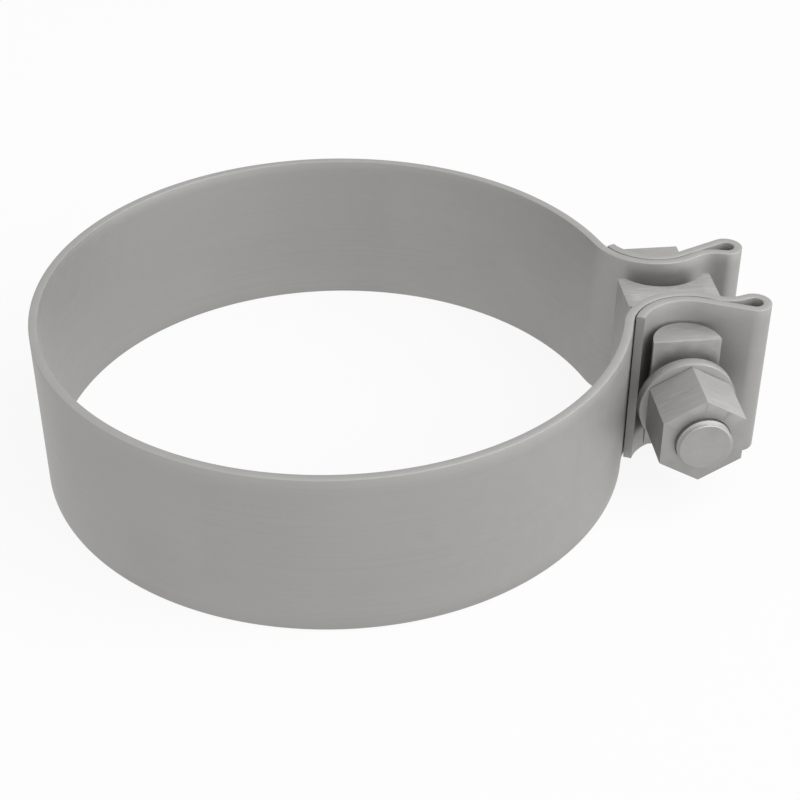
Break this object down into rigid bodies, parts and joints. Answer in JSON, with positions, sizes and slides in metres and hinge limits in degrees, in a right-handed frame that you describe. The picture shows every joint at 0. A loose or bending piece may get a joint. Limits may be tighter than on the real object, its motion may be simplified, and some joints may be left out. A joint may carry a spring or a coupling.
{
  "type": "exhaust clamp",
  "caption": "Band clamp for a lap-joined exhaust tube: a strip ring with folded flanges, dished block, T-bolt, half-round bar, washer and nut.",
  "frame": {"origin": "centre of the strip ring, at half the strip's width", "axes": "+Z along the ring's axis, +X towards the flanges, -Y towards the nut"},
  "size_m": [0.135, 0.1102, 0.0318],
  "materials": {
    "strip_steel": "matte rolled strip",
    "block_steel": "matte, sawn ends",
    "bolt_steel": "matte, forged head and rolled thread",
    "bar_steel": "matte, sawn ends",
    "washer_steel": "matte, stamped",
    "nut_steel": "matte, milled flats"
  },
  "bodies": {
    "band": {"clamp_band": "strip_steel"},
    "block": {"reaction_block": "block_steel"},
    "bolt": {"t_bolt": "bolt_steel"},
    "bar": {"half_round_bar": "bar_steel"},
    "washer": {"washer": "washer_steel"},
    "nut": {"hex_nut": "nut_steel"}
  },
  "joints": [
    {"name": "block_float", "type": "slide", "parent": "band", "child": "block", "axis": [0, 1, 0], "range_m": [-0.002, 0.002]},
    {"name": "bolt_play", "type": "slide", "parent": "band", "child": "bolt", "axis": [0, 1, 0], "range_m": [0, 0.0006]},
    {"name": "bar_play", "type": "slide", "parent": "band", "child": "bar", "axis": [0, -1, 0], "range_m": [0, 0.0005]},
    {"name": "washer_travel", "type": "slide", "parent": "bolt", "child": "washer", "axis": [0, -1, 0], "range_m": [-0.00076, 0.01051]},
    {"name": "nut_turn", "type": "hinge", "parent": "washer", "child": "nut", "pos_m": [0.06351, -0.0248, 0], "axis": [0, -1, 0], "range_deg": [-180, 2520]}
  ],
  "couplings": [
    {"joint": "washer_travel", "follows": "nut_turn", "m_per_rad": 0.00023873}
  ]
}
